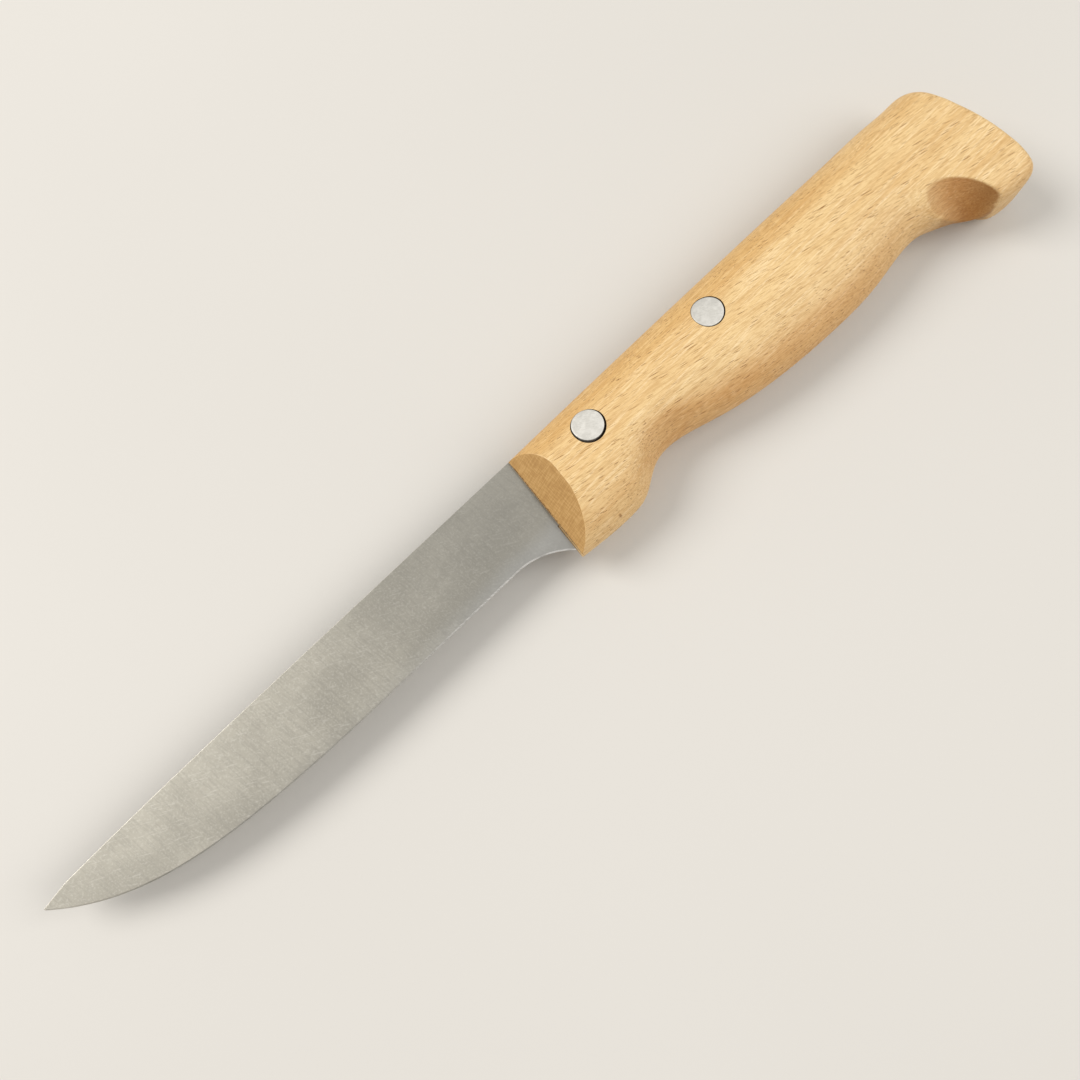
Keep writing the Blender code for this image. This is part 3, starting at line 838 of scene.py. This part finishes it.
STEEL_DARK = (0.455, 0.437, 0.385)
STEEL_LIGHT = (0.49, 0.471, 0.415)
STEEL_ROOT_SHADE = (0.37, 0.365, 0.34)
STEEL_LINE = (0.36, 0.345, 0.31)
STEEL_SPECK = (0.64, 0.63, 0.58)
STEEL_SCUFF = (0.68, 0.665, 0.615)
STEEL_SHEEN = (0.50, 0.51, 0.515)
STEEL_BEVEL_GLINT = (1.0, 0.99, 0.97)
ROOT_SHADE_ALONG = (-70.0, -5.0)
HEEL_ALONG = (-60.0, -12.0)
BLADE_END = (-1.0, -1.5)  # the tang, which starts here, has no bevel
HEEL_AXIS = (-16.4, -EDGE_DEPTH - HEEL_RADIUS)
SHEEN_REACH = (24.5, 19.2)  # from that axis
SHEEN_DOWN = (-15.5, -20.2)

ALLOY_DARK = (0.68, 0.67, 0.635)
ALLOY_LIGHT = (0.80, 0.79, 0.755)
ALLOY_SCRATCH = (0.55, 0.54, 0.515)
FLOOR_DARK = (0.66, 0.645, 0.62)
FLOOR_LIGHT = (0.68, 0.665, 0.64)


def stretch(origin, limits):
    """Two millimetre positions along an axis as metres in the scene."""
    return [origin + limit * MM for limit in limits]


def flecks(g, scale, turn, low, high):
    """Short slim spindles scattered through the wood, cut wherever the surface crosses them."""
    cells = g.add("TexVoronoi", {"feature": "F1"}, Vector=g.place(scale, turn), Scale=1.0)
    chance = g.add("SeparateColor", Color=cells.outputs["Color"]).outputs[0]
    reach = g.ramp(chance, 0.0, 1.0, low, high)
    return g.ramp(g.math("DIVIDE", cells.outputs["Distance"], reach), 1.0, 0.82)


def beech():
    """Pale beech with soft streaks, fine fibres and short dark flecks, darker end grain, and painted
    shade on sides turned from the light, in the scoops and on the counterbores' walls.
    """
    g = Graph("beech_wood")
    x, y = g.coordinates()
    broad = g.noise((0.010, 0.16, 0.16), turn=-4.0, detail=3.0, rough=0.55, distortion=0.2)
    streak = g.noise((0.016, 0.65, 0.65), turn=-5.0, detail=3.0, rough=0.6)
    silk = g.noise((0.06, 2.0, 2.0), turn=-3.0, rough=0.6)
    fibre = g.noise((0.16, 3.0, 3.0), turn=7.0, rough=0.7)
    grain = g.noise((0.60, 5.0, 5.0), turn=12.0, rough=0.7)
    colour = g.mix(g.ramp(broad, 0.36, 0.64), BEECH_MID, BEECH_LIGHT)
    colour = g.mix(g.ramp(streak, 0.42, 0.64, 0.0, 0.7), colour, BEECH_LIGHT)
    colour = g.mix(g.ramp(silk, 0.50, 0.66, 0.0, 0.5), colour, BEECH_SILK)
    colour = g.mix(g.ramp(fibre, 0.47, 0.62, 0.0, 0.42), colour, BEECH_DEEP)
    colour = g.mix(g.ramp(grain, 0.50, 0.62, 0.0, 0.36), colour, BEECH_DEEP)

    # Three sizes of fleck, of which the larger two fade in the beak's scoop
    beak = g.ramp(g.mark("beak"), 0.1, 0.9)
    open_grain = g.ramp(beak, 0.0, 1.0, 1.0, 0.25)
    fleck = flecks(g, (0.11, 2.4, 2.4), 13.0, 0.06, 0.19)
    short = flecks(g, (0.15, 3.0, 3.0), 14.5, 0.06, 0.20)
    fine = flecks(g, (0.24, 4.4, 4.4), 12.0, 0.08, 0.28)
    colour = g.mix(g.product(fine, 0.5), colour, FLECK)
    colour = g.mix(g.product(short, open_grain, 0.85), colour, FLECK)
    colour = g.mix(g.product(fleck, open_grain), colour, FLECK)

    # Painted shade: wood turned towards the spine or towards the belly is darkened as sides turned from
    # the light are, and so is the hollow of the finger notch
    facing = g.add("SeparateXYZ", Vector=g.add("NewGeometry").outputs["Normal"]).outputs[1]
    to_butt = g.ramp(x, *stretch(ORIGIN.x, NEAR_BUTT), 1.0, 0.4)
    past_guard = g.ramp(x, *stretch(ORIGIN.x, PAST_GUARD), 0.35, 1.0)
    past_notch = g.ramp(x, *stretch(ORIGIN.x, PAST_NOTCH))
    spine = g.product(g.ramp(facing, 0.10, 0.60), to_butt)
    belly = g.product(g.ramp(facing, -0.30, -0.66), past_guard)
    notch = g.product(g.ramp(g.mark("finger_notch"), 0.05, 1.0, 0.0, 0.6), past_notch)
    belly = g.product(g.math("MAXIMUM", belly, notch), to_butt)
    colour = g.mix(spine, colour, SPINE_SHADE_TINT, "MULTIPLY")
    colour = g.mix(belly, colour, BELLY_SHADE_TINT, "MULTIPLY")

    # The beak's scoop cuts across the fibres: its end grain is darker and shows fine sanding arcs, and
    # painted shade deepens it towards the butt and down towards the belly
    fade = g.ramp(x, *stretch(ORIGIN.x, SANDED_ALONG), 0.1, 1.0)
    fade = g.product(fade, g.ramp(y, *stretch(ORIGIN.y, SANDED_LOW), 1.0, 0.6))
    arcs = g.noise((0.12, 2.6, 2.6), turn=38.0, detail=3.0, rough=0.65, distortion=0.3)
    depth = g.ramp(y, *stretch(ORIGIN.y, SANDED_SHADE_DOWN), 0.2, 1.0)
    sanded = g.mix(depth, SANDED_PALE, SANDED_GRAIN_AND_SHADE)
    sanded = g.mix(g.ramp(arcs, 0.42, 0.62, 0.0, 0.35), sanded, SANDED_GRAIN_AND_SHADE)
    colour = g.mix(g.product(beak, fade), colour, sanded, "MULTIPLY")

    # The facet was sanded both ways, which leaves a fine weave of lines. Its dark tone is partly end
    # grain and partly painted shade
    along = g.noise((3.0, 0.20, 3.0), turn=-6.0, rough=0.6)
    across = g.noise((0.22, 3.0, 0.22), turn=-6.0, rough=0.6)
    weave = [g.ramp(lines, 0.38, 0.62, -0.5, 0.5) for lines in (along, across)]
    weave = g.math("ADD", *weave)
    sawn = g.mix(g.ramp(weave, 0.0, 0.9, 0.0, 0.45), FACET_GRAIN_AND_SHADE, FACET_PALE)
    sawn = g.mix(g.ramp(weave, 0.0, -0.9, 0.0, 0.45), sawn, FACET_DEEP)
    colour = g.mix(g.ramp(g.mark("facet"), 0.45, 0.6), colour, sawn)

    # A burnt line along the facet's foot, painted shade on the counterbores' walls, and the bruise
    rim = g.math("ADD", g.mark("foot"), g.ramp(grain, 0.3, 0.7, -0.3, 0.3))
    colour = g.mix(g.ramp(rim, 0.62, 0.82, 0.0, 0.85), colour, SCORCH)
    for rivet in RIVETS.values():
        away = g.off_axis(*(rivet["place"][k] + rivet["shift"][k] for k in (0, 1)))
        wall = g.ramp(away, *stretch(rivet["bore"] * MM, BORE_BLEND), 0.0, 0.92)
        colour = g.mix(wall, colour, BORE_SHADE)
    away = g.math("ADD", g.off_axis(*KNOCK), g.product(grain, 0.6 * MM))
    knock = g.ramp(away, *stretch(0.0, KNOCK_SIZE))
    colour = g.mix(g.product(knock, 0.7), colour, FLECK)

    rough = g.ramp(fibre, 0.3, 0.7, 0.46, 0.58)
    height = g.math("ADD", g.product(fibre, 0.35), g.product(grain, 0.3))
    normal = g.bump(g.math("SUBTRACT", height, fleck), 0.03, 0.6)
    return g.finish(Base_Color=colour, Roughness=rough, Normal=normal, Specular_IOR_Level=0.4)


def steel():
    """Ground stainless steel: satin, with fine lines across the blade and a few paler clouds."""
    g = Graph("satin_steel")
    x, y = g.coordinates()
    cloud = g.noise((0.05, 0.09, 0.09), detail=4.0, rough=0.6)
    speckle = g.noise((2.2, 2.2, 2.2), detail=3.0, rough=0.7)
    lines = g.noise((3.0, 0.16, 0.16), turn=-7.0, detail=3.0, rough=0.75)
    scuffs = g.noise((0.25, 3.2, 0.25), turn=28.0, rough=0.6)
    colour = g.mix(g.ramp(cloud, 0.38, 0.64), STEEL_DARK, STEEL_LIGHT)
    colour = g.mix(g.ramp(lines, 0.49, 0.58, 0.0, 0.36), colour, STEEL_LINE)
    colour = g.mix(g.ramp(speckle, 0.50, 0.66, 0.0, 0.36), colour, STEEL_SPECK)
    colour = g.mix(g.ramp(scuffs, 0.60, 0.70, 0.0, 0.36), colour, STEEL_SCUFF)
    # Painted shade: the blade darkens towards the handle
    colour = g.mix(g.ramp(x, *stretch(ORIGIN.x, ROOT_SHADE_ALONG), 0.0, 0.45), colour, STEEL_ROOT_SHADE)

    # Towards the heel, a painted sheen beside the edge and a painted glint on the bevel
    heel = g.ramp(x, *stretch(ORIGIN.x, HEEL_ALONG), 0.15, 1.0)
    heel = g.product(heel, g.ramp(x, *stretch(ORIGIN.x, BLADE_END)))
    edge_arc = g.ramp(g.off_axis(*HEEL_AXIS), *stretch(0.0, SHEEN_REACH), 0.0, 0.5)
    edge_line = g.ramp(y, *stretch(ORIGIN.y, SHEEN_DOWN), 0.0, 0.5)
    sheen = g.product(g.math("MAXIMUM", edge_arc, edge_line), heel)
    colour = g.mix(sheen, colour, STEEL_SHEEN)
    # Painted glint on the bevel, its strength varied along by the scuffs' noise
    glint_strength = g.ramp(scuffs, 0.40, 0.60, 0.45, 0.95)
    bevel = g.product(g.ramp(g.mark("bevel"), 0.5, 0.9), heel, glint_strength)
    colour = g.mix(bevel, colour, STEEL_BEVEL_GLINT)

    rough = g.ramp(cloud, 0.35, 0.7, 0.38, 0.42)
    rough = g.math("ADD", rough, g.ramp(speckle, 0.4, 0.7, 0.0, 0.04))
    normal = g.bump(lines, 0.004, 0.4)
    return g.finish(Base_Color=colour, Roughness=rough, Normal=normal, Metallic=1.0)


def rivet_metal():
    """Pale soft alloy, faintly mottled and scratched, dull enough to scatter some of the light."""
    g = Graph("rivet_alloy")
    mottle = g.noise((0.8, 0.8, 0.8), detail=4.0, rough=0.6)
    scratch = g.noise((0.5, 4.5, 4.5), turn=35.0)
    colour = g.mix(g.ramp(mottle, 0.35, 0.7), ALLOY_DARK, ALLOY_LIGHT)
    colour = g.mix(g.ramp(scratch, 0.52, 0.70, 0.0, 0.5), colour, ALLOY_SCRATCH)
    rough = g.ramp(scratch, 0.3, 0.7, 0.48, 0.62)
    normal = g.bump(g.math("ADD", mottle, scratch), 0.02, 0.4)
    return g.finish(Base_Color=colour, Roughness=rough, Normal=normal, Metallic=0.6)


def floor_paint():
    """Plain pale paint, very faintly clouded."""
    g = Graph("pale_floor")
    cloud = g.noise((0.004, 0.004, 0.004))
    colour = g.mix(g.ramp(cloud, 0.3, 0.7), FLOOR_DARK, FLOOR_LIGHT)
    return g.finish(Base_Color=colour, Roughness=0.8)


# ---------------------------------------------------------------- putting it together

SHARP_ANGLE = 30  # degrees between faces from which an edge is shown sharp
BLADE_SHARP_ANGLE = 8

# Metres from here on, but for the lens
FLOOR_REACH = 2.0
FLOOR_HEIGHT = -0.0001  # just clear of the handle's lower side
SKY_COLOUR = (1.0, 0.975, 0.93, 1)
SKY_STRENGTH = 0.46
LAMP_COLOUR = (1.0, 0.97, 0.92)
LAMPS = {
    "key": {"place": (-0.6, 0.85, 1.0), "size": 0.8, "power": 14.0},
    "fill": {"place": (0.75, -0.7, 1.1), "size": 1.3, "power": 11.0},
}
CAMERA_PLACE = (-0.03547, -0.03944, 0.2499)
CAMERA_RIGHT = (0.71943, -0.69403, -0.02729)
CAMERA_AHEAD = (0.11860, 0.16146, -0.97973)
CAMERA_LENS = 36.1  # mm, on a sensor 36 mm wide
SENSOR_WIDTH = 36.0
CLIP_START = 0.01


def dress(piece, material, slot, *nodes, angle=SHARP_ANGLE):
    """Gives a piece its material, smooth shading, body and the nodes it stands for. The slot is not
    used.
    """
    piece.data.materials.clear()
    piece.data.materials.append(material)
    piece.data.shade_smooth()
    piece.data.set_sharp_from_angle(angle=math.radians(angle))
    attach(piece, "root")
    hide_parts(*nodes)


def area_light(name, place, size, power):
    """A round soft lamp that looks at the knife's middle."""
    lamp = bpy.data.lights.new(name, "AREA")
    lamp.shape = "DISK"
    lamp.size = size
    lamp.energy = power
    lamp.color = LAMP_COLOUR
    holder = bpy.data.objects.new(name, lamp)
    holder.location = place
    holder.rotation_euler = (-Vector(place)).to_track_quat("-Z", "Y").to_euler()
    bpy.context.scene.collection.objects.link(holder)


def make_stage():
    """The floor, the even light of the surroundings and the two lamps."""
    corners = [(-1, -1), (1, -1), (1, 1), (-1, 1)]
    points = [(x * FLOOR_REACH, y * FLOOR_REACH, FLOOR_HEIGHT) for x, y in corners]
    mesh = bpy.data.meshes.new("floor")
    mesh.from_pydata(points, [], [(0, 1, 2, 3)])
    mesh.materials.append(floor_paint())
    floor = bpy.data.objects.new("floor", mesh)
    bpy.context.scene.collection.objects.link(floor)
    world = bpy.data.worlds.new("studio")
    world.use_nodes = True
    sky = world.node_tree.nodes["Background"]
    sky.inputs["Color"].default_value = SKY_COLOUR
    sky.inputs["Strength"].default_value = SKY_STRENGTH
    bpy.context.scene.world = world
    for name, lamp in LAMPS.items():
        area_light(name, **lamp)


def make_camera():
    """The camera at the photograph's viewing angle."""
    ahead = Vector(CAMERA_AHEAD).normalized()
    right = Vector(CAMERA_RIGHT)
    right = (right - ahead * right.dot(ahead)).normalized()
    above = right.cross(ahead)
    turn = Matrix((right, above, -ahead)).transposed()
    data = bpy.data.cameras.new("camera")
    data.sensor_width = SENSOR_WIDTH
    data.lens = CAMERA_LENS
    data.clip_start = CLIP_START
    camera = bpy.data.objects.new("camera", data)
    camera.matrix_world = Matrix.Translation(CAMERA_PLACE) @ turn.to_4x4()
    bpy.context.scene.collection.objects.link(camera)
    bpy.context.scene.camera = camera


def main():
    """Builds the knife, the stage and the camera."""
    dress(make_handle(), beech(), "beech", "handle")
    dress(make_blade(), steel(), "steel", "blade", angle=BLADE_SHARP_ANGLE)
    alloy = rivet_metal()
    for name, rivet in RIVETS.items():
        for half in ("tube", "pin"):
            piece = make_rivet_half(f"{name}_{half}_metal", rivet, half)
            dress(piece, alloy, "rivet_metal", f"{name}_rivet_{half}")
    make_stage()
    make_camera()
    bpy.context.scene.view_settings.view_transform = "Standard"


main()
